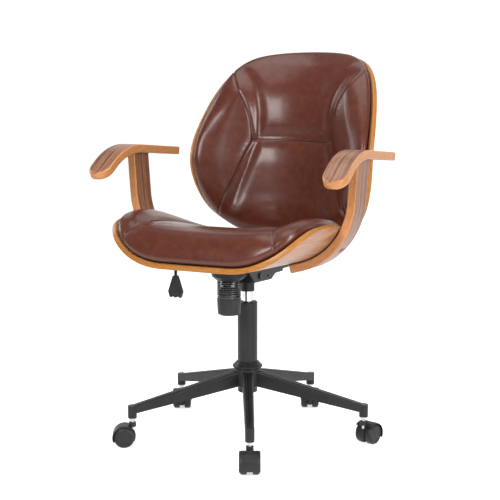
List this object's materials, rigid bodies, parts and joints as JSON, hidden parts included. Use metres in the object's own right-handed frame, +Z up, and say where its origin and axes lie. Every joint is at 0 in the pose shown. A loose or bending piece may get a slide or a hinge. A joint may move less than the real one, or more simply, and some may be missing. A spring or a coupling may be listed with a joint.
{
  "type": "swivel desk chair",
  "caption": "Swivel desk chair with leather cushions on bent plywood shells, bentwood arms with scrolled pads, a tilting gas lift and a five-star base on twin-wheel casters.",
  "frame": {"origin": "point of the floor under the swivel axis", "axes": "+Z up along the swivel axis, -Y the way the sitter faces, -X the sitter's right hand, where the lever is"},
  "size_m": [0.6798, 0.7173, 0.9522],
  "materials": {
    "leather": "glossy dark red-brown leather",
    "plywood": "lacquered bent plywood",
    "walnut": "satin walnut veneer",
    "black_steel": "black powder coat",
    "chrome": "polished chrome",
    "steel": "zinc-plated steel",
    "black_plastic": "black moulded plastic",
    "rubber": "black rubber"
  },
  "bodies": {
    "base": {"base_hub": "black_steel", "base_leg_1": "black_steel", "base_leg_2": "black_steel", "base_leg_3": "black_steel", "base_leg_4": "black_steel", "base_leg_5": "black_steel", "column_tube": "black_steel", "guide_bush": "black_plastic", "thrust_race_lower": "steel"},
    "rod": {"piston_rod": "steel", "thrust_balls": "steel", "thrust_race_upper": "steel", "rubber_bumper": "rubber", "retaining_clip": "steel"},
    "lift": {"gas_cylinder": "chrome", "tilt_housing": "black_steel", "tilt_pivot_pin": "steel", "tension_spring": "steel"},
    "release": {"release_pin": "steel"},
    "lever_pivot": {"lever_bush": "black_plastic"},
    "lever": {"lever_rod": "black_steel", "lever_paddle": "black_plastic"},
    "seat": {"seat_plate": "black_steel", "tension_bolt": "steel", "seat_shell": "plywood", "seat_cushion": "leather", "back_bar": "black_steel", "back_shell": "plywood", "back_cushion": "leather", "arm_upright_left": "walnut", "arm_upright_right": "walnut", "arm_pad_left": "walnut", "arm_pad_right": "walnut", "seat_bolts": "steel", "arm_bolts": "steel", "arm_spacers": "steel", "back_bolts": "steel"},
    "cup": {"spring_cup": "steel"},
    "knob": {"tension_knob": "black_plastic"},
    "caster_1": {"caster_1_hood": "black_plastic", "caster_1_pins": "steel"},
    "wheel_1_a": {"caster_1_wheel_a": "black_plastic"},
    "wheel_1_b": {"caster_1_wheel_b": "black_plastic"},
    "caster_2": {"caster_2_hood": "black_plastic", "caster_2_pins": "steel"},
    "wheel_2_a": {"caster_2_wheel_a": "black_plastic"},
    "wheel_2_b": {"caster_2_wheel_b": "black_plastic"},
    "caster_3": {"caster_3_hood": "black_plastic", "caster_3_pins": "steel"},
    "wheel_3_a": {"caster_3_wheel_a": "black_plastic"},
    "wheel_3_b": {"caster_3_wheel_b": "black_plastic"},
    "caster_4": {"caster_4_hood": "black_plastic", "caster_4_pins": "steel"},
    "wheel_4_a": {"caster_4_wheel_a": "black_plastic"},
    "wheel_4_b": {"caster_4_wheel_b": "black_plastic"},
    "caster_5": {"caster_5_hood": "black_plastic", "caster_5_pins": "steel"},
    "wheel_5_a": {"caster_5_wheel_a": "black_plastic"},
    "wheel_5_b": {"caster_5_wheel_b": "black_plastic"}
  },
  "joints": [
    {"name": "seat_swivel", "type": "hinge", "parent": "base", "child": "rod", "pos_m": [0, 0, 0.12], "axis": [0, 0, 1], "continuous": true},
    {"name": "height_slide", "type": "slide", "parent": "rod", "child": "lift", "axis": [0, 0, 1], "range_m": [0, 0.085]},
    {"name": "release_press", "type": "slide", "parent": "lift", "child": "release", "axis": [0, 0, -1], "range_m": [0, 0.004]},
    {"name": "lever_lift", "type": "hinge", "parent": "lift", "child": "lever_pivot", "pos_m": [-0.0425, 0.03, 0.4205], "axis": [0, 1, 0], "range_deg": [0, 5], "stiffness_Nm_per_rad": 3, "springref_deg": -5.73},
    {"name": "lever_pull", "type": "slide", "parent": "lever_pivot", "child": "lever", "axis": [-1, 0, 0], "range_m": [0, 0.012]},
    {"name": "seat_tilt", "type": "hinge", "parent": "lift", "child": "seat", "pos_m": [0, -0.026, 0.41], "axis": [-1, 0, 0], "range_deg": [0, 10], "stiffness_Nm_per_rad": 120, "springref_deg": -14.32, "deforming": ["tension_spring"]},
    {"name": "knob_travel", "type": "slide", "parent": "seat", "child": "cup", "axis": [0, 0, 1], "range_m": [-0.0031, 0.0031]},
    {"name": "knob_turn", "type": "hinge", "parent": "cup", "child": "knob", "pos_m": [0, -0.0967, 0.34], "axis": [0, 0, 1], "range_deg": [-720, 720]},
    {"name": "caster_1_swivel", "type": "hinge", "parent": "base", "child": "caster_1", "pos_m": [0.14037, -0.26015, 0.085], "axis": [0, 0, 1], "continuous": true},
    {"name": "wheel_1_a_roll", "type": "hinge", "parent": "caster_1", "child": "wheel_1_a", "pos_m": [0.14945, -0.27797, 0.025], "axis": [0.891, 0.454, 0], "continuous": true},
    {"name": "wheel_1_b_roll", "type": "hinge", "parent": "caster_1", "child": "wheel_1_b", "pos_m": [0.14945, -0.27797, 0.025], "axis": [0.891, 0.454, 0], "continuous": true},
    {"name": "caster_2_swivel", "type": "hinge", "parent": "base", "child": "caster_2", "pos_m": [0.29079, 0.05311, 0.085], "axis": [0, 0, 1], "continuous": true},
    {"name": "wheel_2_a_roll", "type": "hinge", "parent": "caster_2", "child": "wheel_2_a", "pos_m": [0.29597, 0.07243, 0.025], "axis": [-0.9659, 0.2588, 0], "continuous": true},
    {"name": "wheel_2_b_roll", "type": "hinge", "parent": "caster_2", "child": "wheel_2_b", "pos_m": [0.29597, 0.07243, 0.025], "axis": [-0.9659, 0.2588, 0], "continuous": true},
    {"name": "caster_3_swivel", "type": "hinge", "parent": "base", "child": "caster_3", "pos_m": [0.03935, 0.29297, 0.085], "axis": [0, 0, 1], "continuous": true},
    {"name": "wheel_3_a_roll", "type": "hinge", "parent": "caster_3", "child": "wheel_3_a", "pos_m": [0.03027, 0.31079, 0.025], "axis": [-0.891, -0.454, 0], "continuous": true},
    {"name": "wheel_3_b_roll", "type": "hinge", "parent": "caster_3", "child": "wheel_3_b", "pos_m": [0.03027, 0.31079, 0.025], "axis": [-0.891, -0.454, 0], "continuous": true},
    {"name": "caster_4_swivel", "type": "hinge", "parent": "base", "child": "caster_4", "pos_m": [-0.26647, 0.12796, 0.085], "axis": [0, 0, 1], "continuous": true},
    {"name": "wheel_4_a_roll", "type": "hinge", "parent": "caster_4", "child": "wheel_4_a", "pos_m": [-0.27555, 0.14578, 0.025], "axis": [-0.891, -0.454, 0], "continuous": true},
    {"name": "wheel_4_b_roll", "type": "hinge", "parent": "caster_4", "child": "wheel_4_b", "pos_m": [-0.27555, 0.14578, 0.025], "axis": [-0.891, -0.454, 0], "continuous": true},
    {"name": "caster_5_swivel", "type": "hinge", "parent": "base", "child": "caster_5", "pos_m": [-0.20404, -0.21389, 0.085], "axis": [0, 0, 1], "continuous": true},
    {"name": "wheel_5_a_roll", "type": "hinge", "parent": "caster_5", "child": "wheel_5_a", "pos_m": [-0.22118, -0.22419, 0.025], "axis": [0.515, -0.8572, 0], "continuous": true},
    {"name": "wheel_5_b_roll", "type": "hinge", "parent": "caster_5", "child": "wheel_5_b", "pos_m": [-0.22118, -0.22419, 0.025], "axis": [0.515, -0.8572, 0], "continuous": true}
  ],
  "couplings": [
    {"joint": "release_press", "follows": "lever_lift", "m_per_rad": 0.0425},
    {"joint": "knob_travel", "follows": "knob_turn", "m_per_rad": 0.0002387}
  ]
}
